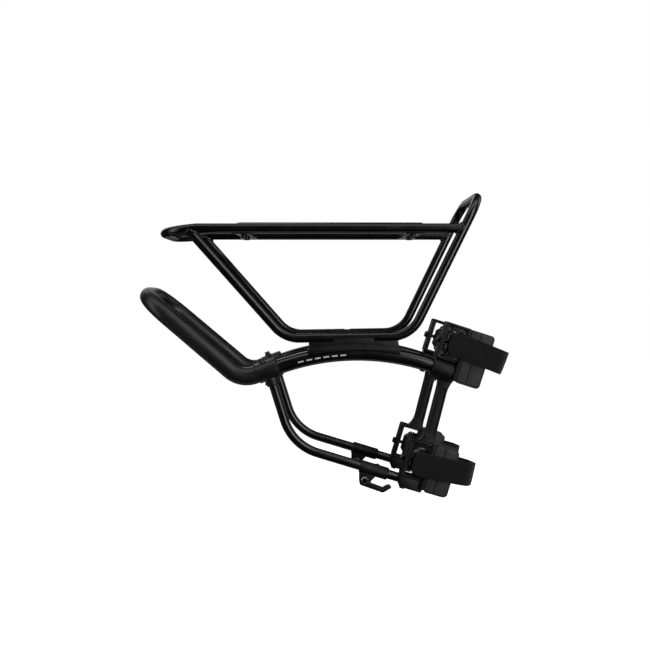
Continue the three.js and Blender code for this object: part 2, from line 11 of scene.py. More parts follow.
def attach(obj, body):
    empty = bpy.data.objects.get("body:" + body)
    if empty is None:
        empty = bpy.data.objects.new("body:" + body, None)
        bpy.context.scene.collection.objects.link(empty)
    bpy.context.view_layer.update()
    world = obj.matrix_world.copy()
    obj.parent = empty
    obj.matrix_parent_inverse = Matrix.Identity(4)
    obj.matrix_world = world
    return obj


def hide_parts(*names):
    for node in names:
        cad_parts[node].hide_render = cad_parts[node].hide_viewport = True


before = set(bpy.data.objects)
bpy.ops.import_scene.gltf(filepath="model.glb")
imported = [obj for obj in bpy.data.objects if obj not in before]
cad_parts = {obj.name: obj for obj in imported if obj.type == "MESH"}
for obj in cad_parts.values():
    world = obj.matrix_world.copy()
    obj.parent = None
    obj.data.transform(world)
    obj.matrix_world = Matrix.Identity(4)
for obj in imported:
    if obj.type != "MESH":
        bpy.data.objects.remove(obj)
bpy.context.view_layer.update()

# ---------------------------------------------------------------- dimensions
# Millimetres, in the CAD part's own frame; meshes are scaled to metres when made.

MM = 0.001
HALF_DECK = 60
HALF_BASE = 55
RIGHT, LEFT = -1, 1
SIDES = {"right": RIGHT, "left": LEFT}

RAIL_R = 5
ARCH_R = 8
LOOP_R = 9.6
STRUT_R = 5

DECK_Z, DECK_REAR_X, DECK_DIP_X, DECK_DROP = 137.6, -328.5, -291, 4
LEG_TOP = (-298.9, 136.1)
REAR_CORNER = (-197.5, 21.2)
FRONT_CORNER = (-64.2, 23.4)
FRONT_LEG_X = -8.8
HOOP_Z = 171.8
FRAME_BEND, HOOP_BEND = 34, 25

ARCH_X, ARCH_Z, ARCH_BEND = -120.85, -240.8, 246.2
SLEEVE_REAR, SLEEVE_FRONT, SLEEVE_R = (-227.3, -16.9), (-204.6, -9), 10.7
LOOP_BEND, LOOP_BAR, LOOP_HALF = (-244.6, -22.4), (-348.7, 66.2), 49
STRUT_TOP, STRUT_BEND, STRUT_END_U = (-212, -22), (-189.9, -92.9), -6
CRADLE = (-172, -146, -104.6, -76.5)
CRADLE_BOLT_X = -128.5
CROSS_X = {"rear": -244, "front": -59}
PLATE_BOLT_Y = {"right": -20, "left": 20}
TRACK = (-251, -49, 38, 142.4, 145.4)

MOUNTS = {
    "upper": {"at": (-9.5, 3.06), "tilt": 17.8, "half": 29, "top": 29.5, "window": (-7.2, 26),
              "socket": -20.4, "strap": 9.3, "lean": -4, "fold": 46.2},
    "lower": {"at": (-44.7, -115.6), "tilt": 16.5, "half": 25.6, "top": 24.7, "window": (-13.6, 21.4),
              "socket": -20.5, "strap": 2.3, "lean": 3, "fold": 48.2},
}
BRACKET_REAR, BRACKET_BAR, BRACKET_WALL, BRACKET_HALF = -27.8, -23.5, -4, 10
PAD_DEPTH, PAD_FLOOR, PAD_HALF, GROOVE_HALF = 26, 10, 15, 8
STRAP_WIDTH, STRAP_THICK, STRAP_REAR = 25, 1.7, -11.2
STRAP_TAIL = {"right": -19.6, "left": -13.4}
HOOK_X = {"right": -117.6, "left": -122.2}

# ---------------------------------------------------------------- materials


def new_material(name):
    """Material with its nodes, links and Principled shader."""
    mat = bpy.data.materials.new(name)
    mat.use_nodes = True
    nodes, links = mat.node_tree.nodes, mat.node_tree.links
    return mat, nodes, links, nodes["Principled BSDF"]


def noise(nodes, links, scale, detail=4.0, stretch=(1, 1, 1)):
    """Noise in the part's own coordinates."""
    coords = nodes.new("ShaderNodeTexCoord")
    mapping = nodes.new("ShaderNodeMapping")
    mapping.inputs["Scale"].default_value = stretch
    texture = nodes.new("ShaderNodeTexNoise")
    texture.inputs["Scale"].default_value = scale
    texture.inputs["Detail"].default_value = detail
    links.new(coords.outputs["Object"], mapping.inputs["Vector"])
    links.new(mapping.outputs["Vector"], texture.inputs["Vector"])
    return texture.outputs["Fac"]


def rgba(value):
    """Grey or colour with full alpha."""
    return (*value, 1) if isinstance(value, tuple) else (value, value, value, 1)


def ramp(nodes, links, factor, low, high, start=0.35, end=0.65):
    """Factor mapped to colours or greys between low and high."""
    node = nodes.new("ShaderNodeValToRGB")
    node.color_ramp.elements[0].position = start
    node.color_ramp.elements[1].position = end
    node.color_ramp.elements[0].color = rgba(low)
    node.color_ramp.elements[1].color = rgba(high)
    links.new(factor, node.inputs["Fac"])
    return node.outputs["Color"]


def bump(nodes, links, shader, height, strength, distance):
    """Height as a bump on the shader's normal; distance is in metres."""
    node = nodes.new("ShaderNodeBump")
    node.inputs["Strength"].default_value = strength
    node.inputs["Distance"].default_value = distance
    links.new(height, node.inputs["Height"])
    links.new(node.outputs["Normal"], shader.inputs["Normal"])


def gloss_paint():
    """Gloss black paint: faint orange peel and dust haze."""
    mat, nodes, links, shader = new_material("gloss_black_paint")
    tone = ramp(nodes, links, noise(nodes, links, 35), (0.0012, 0.0012, 0.0013), (0.0024, 0.0024, 0.0026))
    links.new(tone, shader.inputs["Base Color"])
    haze = ramp(nodes, links, noise(nodes, links, 60), 0.24, 0.31)
    links.new(haze, shader.inputs["Roughness"])
    bump(nodes, links, shader, noise(nodes, links, 140, 2), 0.02, 0.0001)
    return mat


def satin_coat():
    """Powder coat: fine grain with slightly rubbed patches."""
    mat, nodes, links, shader = new_material("satin_black_coat")
    tone = ramp(nodes, links, noise(nodes, links, 28), (0.0050, 0.0050, 0.0052), (0.0085, 0.0085, 0.0088))
    links.new(tone, shader.inputs["Base Color"])
    rubbed = ramp(nodes, links, noise(nodes, links, 60), 0.38, 0.48)
    links.new(rubbed, shader.inputs["Roughness"])
    bump(nodes, links, shader, noise(nodes, links, 1800, 2), 0.10, 0.0001)
    return mat


def moulded_plastic():
    """Spark-eroded mould texture on glass-filled nylon."""
    mat, nodes, links, shader = new_material("black_moulded_plastic")
    tone = ramp(nodes, links, noise(nodes, links, 40), (0.0026, 0.0026, 0.0027), (0.0046, 0.0046, 0.0048))
    links.new(tone, shader.inputs["Base Color"])
    shader.inputs["Specular IOR Level"].default_value = 0.24
    wear = ramp(nodes, links, noise(nodes, links, 110), 0.44, 0.60)
    links.new(wear, shader.inputs["Roughness"])
    bump(nodes, links, shader, noise(nodes, links, 2600, 3), 0.12, 0.0001)
    return mat


def pad_rubber():
    """Matte rubber with a faint bloom."""
    mat, nodes, links, shader = new_material("black_pad_rubber")
    tone = ramp(nodes, links, noise(nodes, links, 50), (0.0085, 0.0086, 0.0088), (0.0140, 0.0142, 0.0145))
    links.new(tone, shader.inputs["Base Color"])
    bloom = ramp(nodes, links, noise(nodes, links, 70), 0.58, 0.75)
    links.new(bloom, shader.inputs["Roughness"])
    bump(nodes, links, shader, noise(nodes, links, 1500, 4), 0.15, 0.00015)
    return mat


def loop_fabric():
    """Napped loop side of hook-and-loop webbing."""
    mat, nodes, links, shader = new_material("black_loop_fabric")
    pile = noise(nodes, links, 900, 6)
    tone = ramp(nodes, links, pile, (0.0035, 0.0035, 0.0036), (0.0085, 0.0085, 0.0087))
    links.new(tone, shader.inputs["Base Color"])
    nap = ramp(nodes, links, noise(nodes, links, 300), 0.88, 1.0)
    links.new(nap, shader.inputs["Roughness"])
    shader.inputs["Sheen Weight"].default_value = 0.12
    shader.inputs["Sheen Roughness"].default_value = 0.5
    shader.inputs["Specular IOR Level"].default_value = 0.2
    bump(nodes, links, shader, noise(nodes, links, 2600, 8), 0.7, 0.0004)
    return mat


def black_oxide():
    """Blackened screws, worn a little brighter in places."""
    mat, nodes, links, shader = new_material("black_oxide_steel")
    shader.inputs["Metallic"].default_value = 0.9
    tone = ramp(nodes, links, noise(nodes, links, 300), (0.03, 0.03, 0.032), (0.07, 0.07, 0.074))
    links.new(tone, shader.inputs["Base Color"])
    worn = ramp(nodes, links, noise(nodes, links, 500), 0.28, 0.45)
    links.new(worn, shader.inputs["Roughness"])
    bump(nodes, links, shader, noise(nodes, links, 900, 2), 0.1, 0.0001)
    return mat


def bright_zinc():
    """Zinc-plated wire, nuts and washers, drawn lengthways."""
    mat, nodes, links, shader = new_material("bright_zinc_steel")
    shader.inputs["Metallic"].default_value = 1.0
    tone = ramp(nodes, links, noise(nodes, links, 400), (0.50, 0.51, 0.52), (0.74, 0.75, 0.76))
    links.new(tone, shader.inputs["Base Color"])
    drawn = ramp(nodes, links, noise(nodes, links, 150, 3, (1, 1, 12)), 0.16, 0.34)
    links.new(drawn, shader.inputs["Roughness"])
    bump(nodes, links, shader, noise(nodes, links, 1200, 2), 0.08, 0.0001)
    return mat


def decal_ink():
    """White screen print of the plain dashes on the arches."""
    mat, nodes, links, shader = new_material("white_decal_ink")
    tone = ramp(nodes, links, noise(nodes, links, 700), (0.55, 0.55, 0.55), (0.72, 0.72, 0.72))
    links.new(tone, shader.inputs["Base Color"])
    links.new(ramp(nodes, links, noise(nodes, links, 500), 0.35, 0.5), shader.inputs["Roughness"])
    bump(nodes, links, shader, noise(nodes, links, 2000, 2), 0.1, 0.0001)
    return mat


GLOSS, SATIN, PLASTIC = gloss_paint(), satin_coat(), moulded_plastic()
RUBBER, FABRIC, OXIDE, ZINC, INK = pad_rubber(), loop_fabric(), black_oxide(), bright_zinc(), decal_ink()

# ------------------------------------------------------------ mesh helpers


def merge(*solids):
    """Several (vertices, faces) pairs as one."""
    vertices, faces = [], []
    for some, more in solids:
        start = len(vertices)
        vertices += some
        faces += [[i + start for i in face] for face in more]
    return vertices, faces


def moved(solid, place):
    """Solid with place applied to each vertex."""
    return [place(v) for v in solid[0]], solid[1]


def mesh_of(solid, name):
    """Mesh in metres, doubles merged and normals outwards."""
    mesh = bpy.data.meshes.new(name)
    mesh.from_pydata([tuple(c * MM for c in v) for v in solid[0]], [], solid[1])
    bm = bmesh.new()
    bm.from_mesh(mesh)
    bmesh.ops.remove_doubles(bm, verts=bm.verts, dist=2e-6)
    bmesh.ops.recalc_face_normals(bm, faces=bm.faces)
    bm.to_mesh(mesh)
    bm.free()
    return mesh


def evaluated(obj):
    """The object's mesh with its modifiers applied."""
    return bpy.data.meshes.new_from_object(obj.evaluated_get(bpy.context.evaluated_depsgraph_get()))


def piece(name, solid, material, body, nodes=(), bevel=0.0, cutters=(), smooth=38):
    """One finished piece: cut, bevelled, shaded, riding on its body in place of CAD nodes."""
    obj = bpy.data.objects.new(name, mesh_of(solid, name))
    bpy.context.collection.objects.link(obj)
    tools = []
    for k, cutter in enumerate(cutters):
        tool = bpy.data.objects.new(f"{name}_tool", mesh_of(cutter, f"{name}_tool"))
        bpy.context.collection.objects.link(tool)
        mod = obj.modifiers.new(f"cut{k}", "BOOLEAN")
        mod.object, mod.solver = tool, "EXACT"
        tools.append(tool)
    if bevel:
        mod = obj.modifiers.new("edges", "BEVEL")
        mod.width, mod.segments = bevel * MM, 3
        mod.limit_method, mod.angle_limit = "ANGLE", math.radians(40)
        mod.use_clamp_overlap = True
    if obj.modifiers:
        finished = evaluated(obj)
        obj.modifiers.clear()
        obj.data = finished
    for tool in tools:
        bpy.data.objects.remove(tool)
    for polygon in obj.data.polygons:
        polygon.use_smooth = True
    obj.data.set_sharp_from_angle(angle=math.radians(smooth))
    obj.data.materials.clear()
    obj.data.materials.append(material)
    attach(obj, body)
    if nodes:
        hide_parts(*nodes)
    return obj


def bent_path(corners, radii, step=4):
    """Stations (point, tangent) along straight runs joined by arcs."""
    corners = [Vector(c) for c in corners]
    stations = [(corners[0], (corners[1] - corners[0]).normalized())]
    for i, radius in enumerate(radii, 1):
        into = (corners[i] - corners[i - 1]).normalized()
        out = (corners[i + 1] - corners[i]).normalized()
        turn = into.angle(out)
        inward = (out - into * out.dot(into)).normalized()
        start = corners[i] - into * radius * math.tan(turn / 2)
        steps = max(2, round(math.degrees(turn) / step))
        for k in range(steps + 1):
            a = turn * k / steps
            point = start + into * radius * math.sin(a) + inward * radius * (1 - math.cos(a))
            stations.append((point, into * math.cos(a) + inward * math.sin(a)))
    stations.append((corners[-1], (corners[-1] - corners[-2]).normalized()))
    return stations


def ring_axes(stations):
    """Axes across each station, turned as little as possible from one to the next."""
    tangent = stations[0][1]
    across = tangent.orthogonal().normalized()
    axes = []
    for _, following in stations:
        across = (tangent.rotation_difference(following) @ across).normalized()
        axes.append((across, following.cross(across).normalized()))
        tangent = following
    return axes


def swept(stations, radius, sides=40, inner=0.0, lip=0.6):
    """Round bar or open tube along the stations, its ends slightly rounded over."""
    rings = [(p, a, b, radius) for (p, _), (a, b) in zip(stations, ring_axes(stations))]
    first, last = rings[0], rings[-1]
    t0, t1 = stations[0][1], stations[-1][1]
    outer = [(first[0], first[1], first[2], radius - lip)]
    outer += [(first[0] + t0 * lip, first[1], first[2], radius)] + rings[1:-1]
    outer += [(last[0] - t1 * lip, last[1], last[2], radius), (last[0], last[1], last[2], radius - lip)]
    if inner:
        bore = [(p, a, b, inner) for p, a, b, _ in reversed(rings)]
        outer += bore
    vertices = []
    for p, a, b, r in outer:
        for k in range(sides):
            w = 2 * math.pi * k / sides
            vertices.append(p + a * (r * math.cos(w)) + b * (r * math.sin(w)))
    count = len(outer)
    faces = []
    spans = count if inner else count - 1
    for i in range(spans):
        j = (i + 1) % count
        for k in range(sides):
            m = (k + 1) % sides
            faces.append([i * sides + k, i * sides + m, j * sides + m, j * sides + k])
    if not inner:
        faces.append(list(range(sides - 1, -1, -1)))
        faces.append([(count - 1) * sides + k for k in range(sides)])
    return vertices, faces


def lathe(start, end, profile, sides=40):
    """Profile of (radius, distance from start) turned about the line from start to end.

    It closes on the axis, or on itself where neither end of the profile is on the axis.
    """
    start, end = Vector(start), Vector(end)
    axis = (end - start).normalized()
    a = axis.orthogonal().normalized()
    b = axis.cross(a)
    vertices, faces, rings = [], [], []
    for r, t in profile:
        middle = start + axis * t
        if r < 1e-6:
            rings.append([len(vertices)] * sides)
            vertices.append(middle)
            continue
        rings.append([len(vertices) + k for k in range(sides)])
        for k in range(sides):
            w = 2 * math.pi * (k + 0.5) / sides
            vertices.append(middle + a * (r * math.cos(w)) + b * (r * math.sin(w)))
    if profile[0][0] > 0 and profile[-1][0] > 0:
        rings.append(rings[0])
    for low, high in zip(rings, rings[1:]):
        for k in range(sides):
            m = (k + 1) % sides
            corners = [low[k], low[m], high[m], high[k]]
            face = [c for i, c in enumerate(corners) if c != corners[i - 1]]
            if len(face) > 2:
                faces.append(face)
    return vertices, faces


def rod(start, end, radius, sides=40, chamfer=0.1):
    """Solid cylinder with chamfered ends."""
    length = (Vector(end) - Vector(start)).length
    profile = [(0, 0), (radius - chamfer, 0), (radius, chamfer)]
    profile += [(radius, length - chamfer), (radius - chamfer, length), (0, length)]
    return lathe(start, end, profile, sides)


def arc(cx, cy, r, a0, a1, steps=6):
    """Points on a circle from angle a0 to a1, in degrees."""
    return [
        (cx + r * math.cos(math.radians(a0 + (a1 - a0) * k / steps)),
         cy + r * math.sin(math.radians(a0 + (a1 - a0) * k / steps)))
        for k in range(steps + 1)
    ]


def rounded(points, radii, steps=5):
    """Polygon with each corner rounded; radii is one number or one per corner."""
    if not isinstance(radii, (list, tuple)):
        radii = [radii] * len(points)
    outline = []
    for i, (point, radius) in enumerate(zip(points, radii)):
        corner = Vector(point)
        before = Vector(points[i - 1]) - corner
        after = Vector(points[(i + 1) % len(points)]) - corner
        if radius <= 0:
            outline.append(tuple(corner))
            continue
        angle = before.angle(after)
        cut = min(radius / math.tan(angle / 2), before.length * 0.49, after.length * 0.49)
        start = corner + before.normalized() * cut
        end = corner + after.normalized() * cut
        for k in range(steps + 1):
            t = k / steps
            outline.append(tuple(start * (1 - t) ** 2 + corner * 2 * t * (1 - t) + end * t * t))
    return outline


def rectangle(x0, y0, x1, y1):
    return [(x0, y0), (x1, y0), (x1, y1), (x0, y1)]


def wound(loop, sign):
    """Loop without repeated points, counter-clockwise for sign 1 and clockwise for -1."""
    loop = [p for i, p in enumerate(loop) if (Vector(p) - Vector(loop[i - 1])).length > 1e-3]
    area = sum(a[0] * b[1] - b[0] * a[1] for a, b in zip(loop, loop[1:] + loop[:1]))
    return loop if area * sign > 0 else loop[::-1]


def inset(loop, amount):
    """Loop moved to its left, its corners kept on their mitres."""
    shifted = []
    for i, point in enumerate(loop):
        corner = Vector(point)
        into = (corner - Vector(loop[i - 1])).normalized()
        out = (Vector(loop[(i + 1) % len(loop)]) - corner).normalized()
        left = Vector((-into.y - out.y, into.x + out.x)).normalized()
        mitre = max(0.5, left.dot(Vector((-into.y, into.x))))
        shifted.append(tuple(corner + left * (amount / mitre)))
    return shifted


def plate(outline, half, holes=(), edge=0.6):
    """Flat plate about depth 0 with rounded-over edges, as (x, depth, y) vertices."""
    loops = [wound(outline, 1)] + [wound(hole, -1) for hole in holes]
    section = [(-half, edge), (-half + 0.3 * edge, 0.3 * edge), (-half + edge, 0)]
    section += [(-depth, amount) for depth, amount in reversed(section)]
    vertices, faces = [], []
    for depth, amount in section:
        for loop in loops:
            vertices += [Vector((x, depth, y)) for x, y in inset(loop, amount)]
    count = len(vertices) // len(section)
    start = 0
    for loop in loops:
        for k in range(len(loop)):
            a, b = start + k, start + (k + 1) % len(loop)
            faces += [[i * count + a, i * count + b, (i + 1) * count + b, (i + 1) * count + a]
                      for i in range(len(section) - 1)]
        start += len(loop)
    flat = [[Vector((x, y, 0)) for x, y in inset(loop, edge)] for loop in loops]
    cap = tessellate_polygon(flat)
    top = (len(section) - 1) * count
    faces += [list(triangle) for triangle in cap] + [[i + top for i in triangle] for triangle in cap]
    return vertices, faces


def at_y(solid, y):
    """A plate drawn in X and Z, moved to y."""
    return moved(solid, lambda v: Vector((v[0], v[1] + y, v[2])))


def socket_screw(seat, direction, shank_r, length, head_r, head_height):
    """Button or cap screw with a hexagon socket."""
    seat, along = Vector(seat), Vector(direction).normalized()
    top = seat - along * head_height
    deep = head_height * 0.55
    head = lathe(top, seat, [
        (head_r * 0.52, deep), (head_r * 0.52, 0.25), (head_r * 0.58, 0), (head_r * 0.84, 0),
        (head_r, head_height * 0.2), (head_r, head_height), (0, head_height), (0, deep)], 36)
    shank = rod(seat, seat + along * length, shank_r, 28, 0.4)
    return merge(head, shank)


def weld_bead(points, radius, ripples, sides=10):
    """Bead along a closed curve, swelling in ripples like a run of weld."""
    count = len(points)
    vertices, faces = [], []
    for i, p in enumerate(points):
        tangent = (points[(i + 1) % count] - points[i - 1]).normalized()
        a = tangent.orthogonal().normalized()
        b = tangent.cross(a)
        r = radius * (1 + 0.13 * math.sin(ripples * 2 * math.pi * i / count))
        for k in range(sides):
            w = 2 * math.pi * k / sides
            vertices.append(p + a * (r * math.cos(w)) + b * (r * math.sin(w)))
    for i in range(count):
        j = (i + 1) % count
        first = vertices[i * sides]
        # The next ring may start at another angle, so its nearest vertex is met first.
        turn = min(range(sides), key=lambda k: (vertices[j * sides + k] - first).length)
        for k in range(sides):
            m = (k + 1) % sides
            faces.append([i * sides + k, i * sides + m,
                          j * sides + (m + turn) % sides, j * sides + (k + turn) % sides])
    return vertices, faces


def bezier(a, b, c, steps=8):
    """Points along a quadratic curve from a to c, pulled towards b."""
    a, b, c = Vector(a), Vector(b), Vector(c)
    ts = [k / steps for k in range(steps + 1)]
    return [tuple(a * (1 - t) ** 2 + b * 2 * t * (1 - t) + c * t * t) for t in ts]


# -------------------------------------------------------------- shared paths


def deck_point(point, side):
    """X and Z on one side of the deck."""
    return Vector((point[0], side * HALF_DECK, point[1]))


def base_point(point, side):
    """X and Z on one side of the arches and mounts."""
    return Vector((point[0], side * HALF_BASE, point[1]))


def on_front_leg(side, z):
    """Point at height z on the front leg's middle line, which runs on up to the hoop."""
    foot, top = base_point(FRONT_CORNER, side), deck_point((FRONT_LEG_X, DECK_Z), side)
    return foot.lerp(top, (z - foot.z) / (top.z - foot.z))


def spread(start, end, steps):
    """Evenly spaced numbers from start to end."""
    return [start + (end - start) * k / steps for k in range(steps + 1)]


def bottom_rail_z(x):
    """Height of the bottom rail's middle at x."""
    (x0, z0), (x1, z1) = REAR_CORNER, FRONT_CORNER
    return z0 + (x - x0) * (z1 - z0) / (x1 - x0)


def arch_point(x, lift=0.0):
    """X and Z on the arch at radius ARCH_BEND + lift, at the same angle as centreline x."""
    a = math.asin((x - ARCH_X) / ARCH_BEND)
    r = ARCH_BEND + lift
    return ARCH_X + r * math.sin(a), ARCH_Z + r * math.cos(a)


def arch_stations(side, x0=-217.0, x1=-21.5, steps=60):
    """Stations along one arch tube."""
    a0, a1 = (math.asin((x - ARCH_X) / ARCH_BEND) for x in (x0, x1))
    stations = []
    for k in range(steps + 1):
        a = a0 + (a1 - a0) * k / steps
        point = (ARCH_X + ARCH_BEND * math.sin(a), side * HALF_BASE, ARCH_Z + ARCH_BEND * math.cos(a))
        stations.append((Vector(point), Vector((math.cos(a), 0, -math.sin(a)))))
    return stations


def mount_xz(level, u, w):
    """X and Z of a point given in a stay mount's own u and w."""
    x, z = MOUNTS[level]["at"]
    a = math.radians(MOUNTS[level]["tilt"])
    return x + u * math.cos(a) + w * math.sin(a), z - u * math.sin(a) + w * math.cos(a)


def mount_point(level, side, u, out, w):
    """Point in the part's frame; out is the distance outwards from the mount's middle."""
    x, z = mount_xz(level, u, w)
    return Vector((x, side * (HALF_BASE + out), z))


def in_mount(level, side):
    """Function from (u, out, w) in a mount to the part's frame."""
    return lambda v: mount_point(level, side, v[0], v[1], v[2])


def strut_stations(side):
    """Stations along one strut."""
    end = mount_xz("lower", STRUT_END_U, MOUNTS["lower"]["socket"])
    return bent_path([base_point(p, side) for p in (STRUT_TOP, STRUT_BEND, end)], [53])


# ------------------------------------------------------------------ platform


def saddle_curve(branch_from, branch_to, main_point, main_axis, count=72):
    """Where a rail-sized tube from branch_from to branch_to meets one along main_axis."""
    axis = (branch_to - branch_from).normalized()
    a = axis.orthogonal().normalized()
    b = axis.cross(a)
    slide = axis - main_axis * axis.dot(main_axis)
    points = []
    for k in range(count):
        w = 2 * math.pi * k / count
        rim = branch_to + (a * math.cos(w) + b * math.sin(w)) * (RAIL_R - 0.02)
        offset = rim - main_point
        across = offset - main_axis * offset.dot(main_axis)
        # Going back by t along the branch, |across - t * slide| = RAIL_R on the main tube's skin.
        qa, qb, qc = slide.length_squared, -2 * across.dot(slide), across.length_squared - RAIL_R**2
        root = math.sqrt(max(0.0, qb * qb - 4 * qa * qc))
        points.append(rim - axis * ((-qb + root) / (2 * qa)))
    return points


def build_deck():
    """Deck rail, and the tube that runs on as both side frames and the front hoop."""
    front, dip, rear = (FRONT_LEG_X, DECK_Z), (DECK_DIP_X, DECK_Z), (DECK_REAR_X, DECK_Z - DECK_DROP)
    corners = [deck_point(p, RIGHT) for p in (front, dip, rear)]
    corners += [deck_point(p, LEFT) for p in (rear, dip, front)]
    rail = swept(bent_path(corners, [30, 33, 33, 30]), RAIL_R, lip=0.0)
    piece("deck_rail", rail, GLOSS, "platform", ["top_rail"])

    loop = [deck_point(LEG_TOP, RIGHT), base_point(REAR_CORNER, RIGHT), base_point(FRONT_CORNER, RIGHT)]
    loop += [on_front_leg(RIGHT, HOOP_Z), on_front_leg(LEFT, HOOP_Z)]
    loop += [base_point(FRONT_CORNER, LEFT), base_point(REAR_CORNER, LEFT), deck_point(LEG_TOP, LEFT)]
    bends = [FRAME_BEND, FRAME_BEND, HOOP_BEND, HOOP_BEND, FRAME_BEND, FRAME_BEND]
    tube = swept(bent_path(loop, bends), RAIL_R, lip=0.0)
    wells = [
        rod((CRADLE_BOLT_X, s * HALF_BASE, bottom_rail_z(CRADLE_BOLT_X) + 1.2),
            (CRADLE_BOLT_X, s * HALF_BASE, 40), 3.8, 28) for s in (RIGHT, LEFT)
    ]
    piece("frame_tube", tube, GLOSS, "platform",
          ["side_frame_right", "side_frame_left", "front_hoop"], cutters=wells)


def build_welds():
    """Beads where the rear legs meet the deck rail and the deck rail meets the front legs."""
    for name, side in SIDES.items():
        rear = saddle_curve(base_point(REAR_CORNER, side), deck_point(LEG_TOP, side),
                            deck_point(LEG_TOP, side), Vector((1, 0, 0.06)).normalized())
        leg_axis = (on_front_leg(side, HOOP_Z) - on_front_leg(side, DECK_Z)).normalized()
        front = saddle_curve(deck_point((-60, DECK_Z), side), deck_point((FRONT_LEG_X, DECK_Z), side),
                             on_front_leg(side, DECK_Z), leg_axis)
        piece(f"weld_rear_{name}", weld_bead(rear, 1.5, 22), GLOSS, "platform")
        piece(f"weld_front_{name}", weld_bead(front, 1.5, 20), GLOSS, "platform")


def build_cross_plate(name, x):
    """Plate flared where it is welded to the rails, with a boss over each of its two bolts."""
    end = HALF_DECK - 2.5
    quarter = [(x + 11, -end), (x + 7.5, -24), (x + 7.5, 24), (x + 11, end)]
    outline = quarter + [(2 * x - px, py) for px, py in reversed(quarter)]
    flat = plate(rounded(outline, [0, 20, 20, 0, 0, 20, 20, 0]), 1.5, edge=0.5)
    flat = moved(flat, lambda v: Vector((v[0], v[2], v[1] + 134.4)))
    bosses = [rod((x, y, 135), (x, y, 142.2), 6, 32, 0.5) for y in PLATE_BOLT_Y.values()]
    piece(f"cross_plate_{name}_skin", merge(flat, *bosses), GLOSS, "platform", [f"cross_plate_{name}"])
    for end_name, y in PLATE_BOLT_Y.items():
        bolt = socket_screw((x, y, 132.7), (0, 0, 1), 2, 11, 3.5, 3)
        node = f"plate_bolt_{name}_{end_name}"
        piece(node + "_skin", bolt, OXIDE, "platform", [node])


def build_track():
    """Flat plate with three long slots and a hole over each plate bolt."""
    rear, front, half, z0, z1 = TRACK
    middle = (rear + front) / 2
    holes = []
    for y in (-28, 0, 28):
        slot = arc(middle + 61.5, y, 3.5, -90, 90, 8) + arc(middle - 61.5, y, 3.5, 90, 270, 8)
        holes.append(slot)
    for x in CROSS_X.values():
        holes += [arc(x, y, 2.3, 0, 337.5, 15) for y in PLATE_BOLT_Y.values()]
    flat = plate(rounded(rectangle(rear, -half, front, half), 8), (z1 - z0) / 2, holes, 0.5)
    flat = moved(flat, lambda v: Vector((v[0], v[2], v[1] + (z0 + z1) / 2)))
    piece("track_plate_skin", flat, SATIN, "platform", ["track_plate"])


def build_cradle(name, side):
    """Curved shoe on the arch, its web rising in a step beside the bottom rail."""
    rear, rise_rear, rise_front, front = CRADLE
    inset_x = 1.5
    lower = [arch_point(x, 3.2) for x in spread(rear, front, 24)]
    upper = [arch_point(x, 10.4) for x in spread(front, rear, 24)]
    shoe = at_y(plate(lower + upper, 9.3, edge=1.2), side * HALF_BASE)
    foot = [arch_point(x, 8.5) for x in spread(rear + inset_x, front - inset_x, 20)]
    # The web stands 4 mm under the rail's middle, and 0.6 mm under it along the raised step.
    web_top = [(front - inset_x, 4.0), (rise_front + inset_x, 4.0), (rise_front, 0.6),
               (rise_rear, 0.6), (rise_rear - inset_x, 4.0), (rear + inset_x, 4.0)]
    top = [(x, bottom_rail_z(x) - under) for x, under in web_top]
    web = at_y(plate(foot + top, 7, edge=0.7), side * HALF_BASE)
    path = [deck_point(LEG_TOP, side), base_point(REAR_CORNER, side), base_point(FRONT_CORNER, side)]
    rail = swept(bent_path(path + [on_front_leg(side, 100)], [FRAME_BEND] * 2), RAIL_R + 0.15)
    arch = swept(arch_stations(side), ARCH_R + 0.15)
    middle = Vector((CRADLE_BOLT_X, side * HALF_BASE, 0))
    drill = rod(middle + Vector((0, 0, 8)), middle + Vector((0, 0, 30)), 2.3, 24)
    shoe_part = piece(f"cradle_{name}_shoe", shoe, PLASTIC, "platform", cutters=[arch, rail, drill])
    piece(f"cradle_{name}_web", web, PLASTIC, "platform", [f"cradle_{name}"], cutters=[arch, rail, drill])
    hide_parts(f"cradle_{name}")
    seat = middle + Vector((0, 0, bottom_rail_z(CRADLE_BOLT_X) + 1.3))
    bolt = socket_screw(seat, (0, 0, -1), 2, 9.2, 3.4, 3)
    piece(f"cradle_bolt_{name}_skin", bolt, OXIDE, "platform", [f"cradle_bolt_{name}"])


# --------------------------------------------------------------- lower frame


def build_rear_loop():
    """One tube from sleeve to sleeve, up and round behind the tyre."""
    along = (base_point(SLEEVE_FRONT, RIGHT) - base_point(SLEEVE_REAR, RIGHT)).normalized()
    half_path = []
    for side in (RIGHT, LEFT):
        start = base_point(SLEEVE_REAR, side) - along * 0.4
        bar = Vector((LOOP_BAR[0], side * LOOP_HALF, LOOP_BAR[1]))
        half_path.append([start, base_point(LOOP_BEND, side), bar])
    corners = half_path[0] + half_path[1][::-1]
    tube = swept(bent_path(corners, [26, 36, 36, 26], 3), LOOP_R, 56, inner=7.8, lip=0.4)
    piece("rear_loop_skin", tube, SATIN, "base_frame", ["rear_loop"])


def build_arch(name, side):
    """Curved tube with a row of plain printed dashes."""
    tube = swept(arch_stations(side), ARCH_R, 48, inner=6.5)
    piece(f"arch_{name}_skin", tube, GLOSS, "base_frame", [f"arch_{name}"])
    ticks = [arch_tick(side, x) for x in range(-184, -138, 9)]
    piece(f"arch_ticks_{name}", merge(*ticks), INK, "base_frame")


